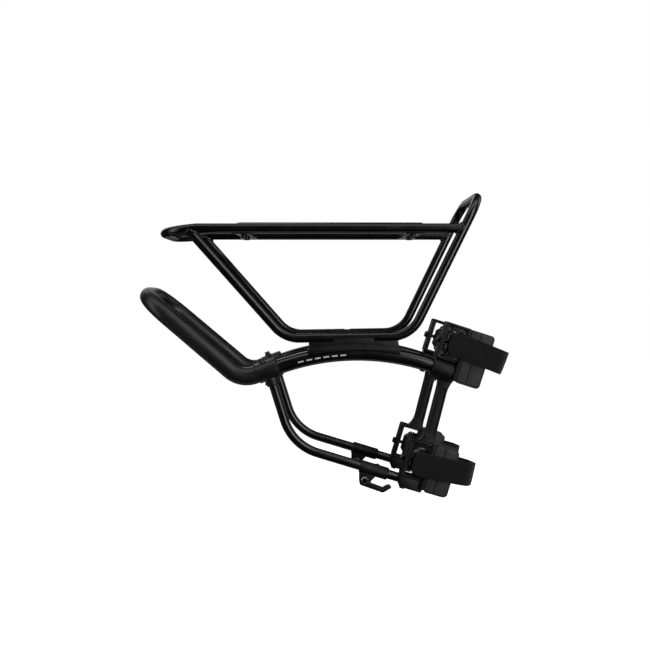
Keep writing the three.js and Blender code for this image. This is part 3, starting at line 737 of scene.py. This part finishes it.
def arch_tick(side, x, wide=6.0, tall=1.5, steps=4):
    """Short plain dash printed on the outer face of an arch."""
    vertices, faces = [], []
    for skin in (0.12, -0.3):
        for k in range(steps + 1):
            rise = -0.24 + tall * k / steps / ARCH_R
            r = ARCH_BEND + (ARCH_R + skin) * math.sin(rise)
            y = side * (HALF_BASE + (ARCH_R + skin) * math.cos(rise))
            for edge in (0, wide):
                a = math.asin((x + edge - ARCH_X) / ARCH_BEND)
                vertices.append(Vector((ARCH_X + r * math.sin(a), y, ARCH_Z + r * math.cos(a))))
    under = 2 * (steps + 1)
    for k in range(0, 2 * steps, 2):
        faces += [[k, k + 1, k + 3, k + 2], [under + k, under + k + 2, under + k + 3, under + k + 1]]
        faces += [[k, k + 2, under + k + 2, under + k], [k + 1, under + k + 1, under + k + 3, k + 3]]
    last = 2 * steps
    faces += [[0, under, under + 1, 1], [last, last + 1, under + last + 1, under + last]]
    return vertices, faces


def build_sleeve(name, side):
    """Turned clamp with a boss for the strut, a collar for its screw and an ear below."""
    rear, front = base_point(SLEEVE_REAR, side), base_point(SLEEVE_FRONT, side)
    along = (front - rear).normalized()
    up = Vector((-along.z, 0, along.x))
    length = (front - rear).length
    r = SLEEVE_R
    barrel = lathe(rear, front, [
        (8.3, 0), (r - 0.6, 0), (r, 0.6), (r, length * 0.2), (r + 0.25, length * 0.2 + 0.4),
        (r + 0.25, length - 1.2), (r - 0.8, length), (8.2, length)], 56)
    down = (base_point(STRUT_BEND, side) - base_point(STRUT_TOP, side)).normalized()
    top = base_point(STRUT_TOP, side)
    boss = lathe(top - down * 7, top + down * 7, [
        (0, 0), (7.2, 0), (7.2, 12.2), (6.4, 14), (5.25, 14), (5.25, 8), (0, 8)], 40)
    middle = rear + along * 9 + up * r
    collar_profile = [(0, 0), (4.3, 0), (4.2, 3.3), (3.6, 3.9), (0, 3.9)]
    collar = lathe(middle - up * 3, middle + up * 0.9, collar_profile, 32)
    clamp_ear = rod(rear + along * 6 - up * (r - 2), rear + along * 6 - up * (r + 2.6), 2.4, 24, 0.4)
    piece(f"sleeve_{name}_skin", merge(barrel, boss, collar, clamp_ear), SATIN, "base_frame",
          [f"sleeve_{name}"], cutters=[rod(middle - up * 2.2, middle + up * 4, 2.9, 28)])
    screw = socket_screw(middle + up * 0.1, -up, 1.4, 2, 2.6, 1.2)
    piece(f"sleeve_screw_{name}_skin", screw, OXIDE, "base_frame", [f"sleeve_screw_{name}"])
    pinch = socket_screw(rear + along * 6 - up * (r + 2.7), up, 1.2, 2, 1.9, 1.0)
    piece(f"sleeve_pinch_{name}", pinch, OXIDE, "base_frame")


def build_strut(name, side):
    """Bent tube from the sleeve down to the lower stay mount."""
    tube = swept(strut_stations(side), STRUT_R, 40, inner=3.8)
    piece(f"strut_{name}_skin", tube, GLOSS, "base_frame", [f"strut_{name}"])


# --------------------------------------------------------------- stay mounts


def window_frame(level):
    """Frame, pad wall and tube socket of one mount, in u, out and w."""
    m = MOUNTS[level]
    w0, w1 = m["window"]
    outer = rounded(rectangle(BRACKET_REAR, w0 - 3, 0, m["top"]), 1.8)
    hole = rounded(rectangle(BRACKET_BAR, w0, BRACKET_WALL, w1), 1.0)
    frame_plate = plate(outer, BRACKET_HALF, [hole], 0.7)
    # A raised rim runs round the outer face of the frame.
    rim_hole = rounded(rectangle(BRACKET_BAR - 1.2, w0 - 1, BRACKET_WALL + 1.2, w1 + 1.1), 1.0)
    rim_outer = rounded(rectangle(BRACKET_REAR, w0 - 2.5, 0, m["top"]), 1.8)
    rim = plate(rim_outer, BRACKET_HALF + 0.7, [rim_hole], 0.4)
    wall_y, wall_w = PAD_HALF - 1, m["half"] - 1
    wall = plate(rounded(rectangle(-wall_y, -wall_w, wall_y, wall_w), 3), 2, edge=0.6)
    wall = moved(wall, lambda v: Vector((v[1] - 2.0, v[0], v[2])))
    length = -BRACKET_REAR
    if level == "upper":
        socket = lathe((BRACKET_REAR + 0.6, 0, m["socket"]), (0, 0, m["socket"]), [
            (8.25, 0), (10.8, 0), (11.8, 0.8), (12.1, 2.2), (12.1, length - 7), (11.5, length - 4),
            (10, length - 1.8), (7.5, length - 0.8), (0, length - 0.8), (0, 16), (8.25, 16)], 56)
    else:
        low = m["socket"] - 8
        side_view = rounded([(BRACKET_REAR, low + 4), (BRACKET_REAR + 3, low), (-1, low), (-0.4, w0),
                             (BRACKET_REAR, w0)], [2, 3, 2, 1, 1])
        socket = plate(side_view, 9, edge=1.2)
    return merge(frame_plate, rim, wall, socket)


def link_bar(side):
    """Flared bar with a raised border between the two mounts of a side."""
    at = mount_xz
    outline = bezier(at("upper", -18.4, -28), at("upper", -15.9, -34), at("upper", -15.5, -41))
    outline += bezier(at("lower", -14.6, 39), at("lower", -14.4, 29), at("lower", -21, 22.6))
    outline += bezier(at("lower", 0, 22.6), at("lower", -3, 28), at("lower", -2.8, 38))
    outline += bezier(at("upper", -3.8, -42), at("upper", -3.6, -33), at("upper", -0.5, -28))
    recess = [at("upper", -13.4, -40), at("lower", -12.3, 33), at("lower", -5.1, 33), at("upper", -6, -40)]
    border = at_y(plate(outline, 5, [rounded(recess, 2)], 0.6), side * HALF_BASE)
    web = at_y(plate(outline, 3.9, edge=0.5), side * HALF_BASE)
    return merge(border, web)


def build_bracket(name, side):
    """Both windows of a side and the bar that links them."""
    for level in MOUNTS:
        skin = moved(window_frame(level), in_mount(level, side))
        piece(f"bracket_{level}_{name}", skin, PLASTIC, "base_frame", [f"stay_bracket_{name}"])
    piece(f"bracket_link_{name}", link_bar(side), PLASTIC, "base_frame", [f"stay_bracket_{name}"])


def build_pad(level, name, side):
    """Rubber channel: a back, two wings and a raised ridge where they meet."""
    half = MOUNTS[level]["half"]
    d, f, h, g = PAD_DEPTH, PAD_FLOOR, PAD_HALF, GROOVE_HALF
    section = [(0.2, -h), (f - 0.8, -h), (f, -h + 0.9), (f + 0.9, -h), (d - 4, -h),
               (d - 1, -h + 1.6), (d, -h + 4), (d, -g - 1.2), (f + 2, -g + 0.4), (f, -g + 2.4)]
    section += [(u, -y) for u, y in reversed(section)]
    layers = []
    corner = 4.0
    steps = 6
    ws = [-half + corner * (1 - math.cos(math.pi / 2 * k / steps)) for k in range(steps + 1)]
    ws += [-w for w in reversed(ws)]
    for w in ws:
        short = max(0.0, abs(w) - (half - corner)) / corner
        pinch = corner * (1 - math.sqrt(max(0.0, 1 - short * short)))
        layers.append([(0.2 + pinch * 0.5 + (u - 0.2) * (d - 0.2 - 1.5 * pinch) / (d - 0.2),
                        y * (1 - 0.25 * pinch / h), w) for u, y in section])
    vertices = [Vector(v) for layer in layers for v in layer]
    n = len(section)
    faces = []
    for i in range(len(layers) - 1):
        for k in range(n):
            m = (k + 1) % n
            faces.append([i * n + k, i * n + m, (i + 1) * n + m, (i + 1) * n + k])
    faces += [list(range(n)), [(len(layers) - 1) * n + k for k in range(n)]]
    piece(f"pad_{level}_{name}_skin", moved((vertices, faces), in_mount(level, side)), RUBBER,
          "base_frame", [f"pad_{level}_{name}"], bevel=0.5)


def build_mount_screws(level, name, side):
    """Strap screw at the rear of the window, and the clamp screw under the tube socket."""
    m = MOUNTS[level]
    place = in_mount(level, side)
    origin = place((0, 0, 0))
    u = place((1, 0, 0)) - origin
    w = place((0, 0, 1)) - origin
    bolt = socket_screw(place((BRACKET_REAR - 0.3, 0, m["strap"])), u, 2, 13.6, 3.5, 3.4)
    piece(f"tension_bolt_{level}_{name}_skin", bolt, OXIDE,
          "base_frame", [f"tension_bolt_{level}_{name}"])
    under = m["socket"] - (12 if level == "upper" else 8)
    boss = rod(place((-21, 0, under - 0.6)), place((-21, 0, under + 2)), 3.8, 28, 0.3)
    piece(f"clamp_boss_{level}_{name}", boss, PLASTIC, "base_frame")
    screw = socket_screw(place((-21, 0, under - 0.7)), w, 1.6, 2, 2.9, 1.5)
    piece(f"socket_screw_{level}_{name}_skin", screw, OXIDE,
          "base_frame", [f"socket_screw_{level}_{name}"])


def build_tension_block(level, name, side):
    """Plastic block in the window and the steel wire that holds the strap."""
    c = MOUNTS[level]["strap"]
    body = f"carriage_{level}_{name}"
    place = in_mount(level, side)
    outline = [(-19, c - 8), (-16, c - 11), (-12.6, c - 11), (-12.6, c + 11), (-16, c + 11), (-19, c + 8)]
    block = moved(plate(rounded(outline, 0.8), 9, edge=0.5), place)
    cuts = [rod(place((-25, 0, c)), place((-5, 0, c)), 2.25, 24)]
    for end in (-1, 1):
        cuts.append(rod(place((-15.2, 0, c + end * 4.5)), place((-15.2, 0, c + end * 15)), 1.4, 20))
    piece(f"tension_block_{level}_{name}_skin", block, PLASTIC, body,
          [f"tension_block_{level}_{name}"], cutters=cuts)
    corners = [(-15.2, c + 5), (-15.2, c + 14), (-6.8, c + 14)]
    corners += [(-6.8, c - 14), (-15.2, c - 14), (-15.2, c - 5)]
    wire = bent_path([place((u, 0, w)) for u, w in corners], [2.2] * 4, 15)
    piece(f"strap_staple_{level}_{name}_skin", swept(wire, 1.25, 20, lip=0.2), ZINC, body,
          [f"strap_staple_{level}_{name}"])


def strap_line(fold, tail):
    """Middle line of the webbing in u and out: round the staple, forward inside, back outside.

    It folds in front of the stay at u = fold and ends outside at u = tail.
    """
    rear = STRAP_REAR + STRAP_THICK / 2
    inner = [(rear + 0.2, 9), (rear, 4), (rear, -6)]
    inner += arc(rear + 6, -10.6, 6, 180, 270, 8)
    start, half, tip = 4.0, 16.8, 1.3
    swell = [(start + (fold - 1.9 - start) * t, tip + (half - tip) * math.sqrt(1 - t**2.6))
             for t in (k / 16 for k in range(17))]
    inner += [(u, -out) for u, out in swell]
    outer = [(u, out + 0.6 * (fold - u) / fold) for u, out in reversed(swell)]
    outer += [(-2, 17.9), (-8, 18.0), (tail, 18.1)]
    return inner + arc(fold - 1.9, 0, tip, -70, 70, 6) + outer


def under_layer():
    """Short inner layer from the staple to where it meets the outer face."""
    rear = STRAP_REAR + STRAP_THICK / 2
    line = [(rear, -4), (rear, 8.5)]
    line += [(u, o) for u, o in reversed(arc(rear + 5, 10.4, 5, 90, 180, 6))]
    return line + [(4, 15.6), (12, 15.5)]


def webbing(line, width, thick, lean, centre, end_radius):
    """Band of webbing along a line in u and out, leaning in the mount's plane.

    Its last end is cut round unless end_radius is 0.
    """
    points = [Vector(p) for p in line]
    dense = []
    for a, b in zip(points, points[1:]):
        steps = max(1, round((b - a).length / 2.0))
        dense += [a.lerp(b, k / steps) for k in range(steps)]
    dense.append(points[-1])
    lengths = [0.0]
    for a, b in zip(dense, dense[1:]):
        lengths.append(lengths[-1] + (b - a).length)
    total = lengths[-1]
    across = 14
    turn = math.radians(lean)
    vertices = []
    for i, p in enumerate(dense):
        before, after = dense[max(0, i - 1)], dense[min(len(dense) - 1, i + 1)]
        tangent = (after - before).normalized()
        normal = Vector((-tangent.y, tangent.x))
        left = total - lengths[i]
        half = width / 2
        if end_radius and left < end_radius:
            half -= end_radius - math.sqrt(max(0.0, end_radius**2 - (end_radius - left) ** 2))
            half = max(half, 0.6)
        for face in (1, -1):
            for k in range(across + 1):
                s = 2 * k / across - 1
                soft = thick / 2 * (1 - 0.45 * abs(s) ** 8)
                wave = 0.12 * math.sin(lengths[i] * 0.21 + 2.1 * s) + 0.08 * math.sin(lengths[i] * 0.47)
                q = p + normal * (face * soft + wave)
                u, w = q.x - STRAP_REAR, s * half
                vertices.append(Vector((
                    STRAP_REAR + u * math.cos(turn) - w * math.sin(turn), q.y,
                    centre + u * math.sin(turn) + w * math.cos(turn))))
    row = 2 * (across + 1)
    faces = []
    for i in range(len(dense) - 1):
        base, following = i * row, (i + 1) * row
        for k in range(across):
            faces.append([base + k, base + k + 1, following + k + 1, following + k])
            b, f = base + across + 1, following + across + 1
            faces.append([b + k, f + k, f + k + 1, b + k + 1])
        for k in (0, across):
            faces.append([base + k, following + k, following + across + 1 + k, base + across + 1 + k])
    for base in (0, (len(dense) - 1) * row):
        for k in range(across):
            faces.append([base + k, base + k + 1, base + across + 2 + k, base + across + 1 + k])
    return vertices, faces


def build_strap(level, name, side):
    """Outer band and the short layer under it, as one piece of webbing."""
    m = MOUNTS[level]
    line = strap_line(m["fold"], STRAP_TAIL[name])
    band = webbing(line, STRAP_WIDTH, STRAP_THICK, m["lean"], m["strap"], 9.0)
    under = webbing(under_layer(), STRAP_WIDTH - 0.6, STRAP_THICK * 0.8, m["lean"], m["strap"], 0.0)
    solid = moved(merge(band, under), in_mount(level, side))
    piece(f"strap_{level}_{name}_skin", solid, FABRIC, f"carriage_{level}_{name}",
          [f"strap_{level}_{name}"], smooth=60)


# -------------------------------------------------------------- bag hooks


def build_hook(name, side):
    """Barrel on the strut with a hook below it, clamped by a bolt and nut."""
    start = base_point(STRUT_BEND, side)
    end = base_point(mount_xz("lower", STRUT_END_U, MOUNTS["lower"]["socket"]), side)
    along = (end - start).normalized()
    up = Vector((-along.z, 0, along.x))
    first = start + along * ((HOOK_X[name] - start.x) / along.x)

    def place(v):
        return first + along * v[0] + up * v[2] + Vector((0, v[1], 0))

    def bolt_at(y):
        return place((9, y, -13.2))

    barrel = lathe(first, first + along * 31, [
        (5.25, 0), (6.3, 0), (6.7, 0.5), (6.7, 29.6), (6.0, 30.6), (5.25, 30.6)], 48)
    outline = rounded(
        [(0.6, -5.4), (0.8, -7), (3.4, -15.5), (5.2, -19.2), (31.4, -20.3), (39, -12), (35.2, -10.4),
         (32.6, -12), (29.6, -15.3), (15.8, -14.4), (15.6, -11.8), (18.6, -6), (18.8, -5.4)],
        [0, 6, 4, 4, 4, 1.2, 1.2, 2, 2, 3, 2, 2, 0])
    hook = plate(outline, 4, edge=0.7)
    cheek_outline = [(1.6, -5.4), (4, -15), (8, -17.4), (13.2, -15), (14.4, -9), (16.6, -5.4)]
    cheek = plate(rounded(cheek_outline, [0, 2.5, 2.5, 2.5, 2.5, 0]), 4.7, edge=0.5)
    body = f"hook_{name}"
    solid = merge(barrel, moved(hook, place), moved(cheek, place))
    piece(f"hook_clamp_{name}_skin", solid, PLASTIC, body, [f"hook_clamp_{name}"])
    bolt = socket_screw(bolt_at(side * 4.8), (0, -side, 0), 2, 11, 3.5, 2.2)
    piece(f"hook_bolt_{name}_skin", bolt, OXIDE, body, [f"hook_bolt_{name}"])
    rim_profile = [(3.0, 0), (4.1, 0), (4.1, 0.3), (3.9, 0.5), (3.0, 0.5)]
    rim = lathe(bolt_at(side * 4.7), bolt_at(side * 5.2), rim_profile)
    piece(f"hook_washer_{name}", rim, ZINC, body)
    nut_profile = [(2.3, 0), (3.8, 0), (3.8, 2.2), (3.4, 2.4), (2.3, 2.4)]
    nut = lathe(bolt_at(-side * 4.8), bolt_at(-side * 7.2), nut_profile, 6)
    piece(f"hook_nut_{name}_skin", nut, ZINC, body, [f"hook_nut_{name}"], smooth=20)


# ------------------------------------------------------------------- build

build_deck()
build_welds()
for cross_name, cross_x in CROSS_X.items():
    build_cross_plate(cross_name, cross_x)
build_track()
build_rear_loop()
for side_name, side_sign in SIDES.items():
    build_cradle(side_name, side_sign)
    build_arch(side_name, side_sign)
    build_sleeve(side_name, side_sign)
    build_strut(side_name, side_sign)
    build_bracket(side_name, side_sign)
    for mount_level in MOUNTS:
        build_pad(mount_level, side_name, side_sign)
        build_mount_screws(mount_level, side_name, side_sign)
        build_tension_block(mount_level, side_name, side_sign)
        build_strap(mount_level, side_name, side_sign)
    build_hook(side_name, side_sign)

# ------------------------------------------------------------------- stage
# Metres from here on.

FLOOR_Z, FLOOR_HALF = -0.42, 6.0
AIM = (-0.16, 0, 0.0)
LIGHTS = {
    # name: location, target, size, watts
    "top_box": ((-0.16, -0.35, 1.15), AIM, (2.2, 0.45), 7),
    "right_box": ((0.62, -1.15, 0.30), AIM, (0.45, 1.5), 14),
    "left_box": ((-1.35, -0.40, 0.25), AIM, (0.40, 1.3), 4),
    "low_strip": ((-0.16, 0.12, -0.41), AIM, (1.6, 0.14), 0.5),
    "back_box": ((-0.9, 1.7, 1.0), AIM, (1.5, 1.5), 9),
    "front_box": ((1.7, 0.7, 0.9), AIM, (1.2, 1.2), 5),
    "rear_strip": ((-0.16, 1.5, 0.03), (-0.16, 0, 0.07), (2.4, 0.3), 0.7),
}


def build_floor():
    """Pale floor, bright to the camera and unseen by bounced light and reflections."""
    mesh = bpy.data.meshes.new("floor")
    corners = [(x, y, FLOOR_Z) for x, y in rectangle(-FLOOR_HALF, -FLOOR_HALF, FLOOR_HALF, FLOOR_HALF)]
    mesh.from_pydata(corners, [], [(0, 1, 2, 3)])
    floor = bpy.data.objects.new("floor", mesh)
    bpy.context.collection.objects.link(floor)
    mat, nodes, links, shader = new_material("pale_floor")
    tone = ramp(nodes, links, noise(nodes, links, 3), (0.80, 0.80, 0.80), (0.82, 0.82, 0.82))
    links.new(tone, shader.inputs["Base Color"])
    shader.inputs["Roughness"].default_value = 0.9
    shader.inputs["Emission Color"].default_value = (1, 1, 1, 1)
    shader.inputs["Emission Strength"].default_value = 1.0
    mat.cycles.emission_sampling = "NONE"
    mesh.materials.append(mat)
    floor.visible_diffuse = floor.visible_glossy = False


def area_light(name, location, target, size, energy):
    """Soft rectangular lamp turned to its target."""
    data = bpy.data.lights.new(name, "AREA")
    data.shape = "RECTANGLE"
    data.size, data.size_y = size
    data.energy = energy
    lamp = bpy.data.objects.new(name, data)
    lamp.location = location
    lamp.rotation_mode = "QUATERNION"
    lamp.rotation_quaternion = (Vector(target) - Vector(location)).to_track_quat("-Z", "Y")
    lamp.visible_camera = False
    bpy.context.collection.objects.link(lamp)


def build_world():
    """White surroundings for the camera, near dark for light and reflections."""
    world = bpy.data.worlds.new("studio")
    bpy.context.scene.world = world
    world.use_nodes = True
    world.cycles.sampling_method = "NONE"
    nodes, links = world.node_tree.nodes, world.node_tree.links
    background = nodes["Background"]
    seen = nodes.new("ShaderNodeLightPath")
    mix = nodes.new("ShaderNodeMixRGB")
    mix.inputs["Color1"].default_value = (0.02, 0.02, 0.02, 1)
    mix.inputs["Color2"].default_value = (1.0, 1.0, 1.0, 1)
    links.new(seen.outputs["Is Camera Ray"], mix.inputs["Fac"])
    links.new(mix.outputs["Color"], background.inputs["Color"])


def build_camera():
    """A metre away on the rack's right, a little above its middle."""
    data = bpy.data.cameras.new("camera")
    data.sensor_width = 36
    data.lens = 49.45
    camera = bpy.data.objects.new("camera", data)
    camera.location = (-0.159, -1.002, 0.0678)
    camera.rotation_euler = (math.radians(90 - 1.96), 0, math.radians(-0.23))
    bpy.context.collection.objects.link(camera)
    bpy.context.scene.camera = camera


build_floor()
build_world()
build_camera()
for light_name, settings in LIGHTS.items():
    area_light(light_name, *settings)
bpy.context.scene.view_settings.view_transform = "Standard"
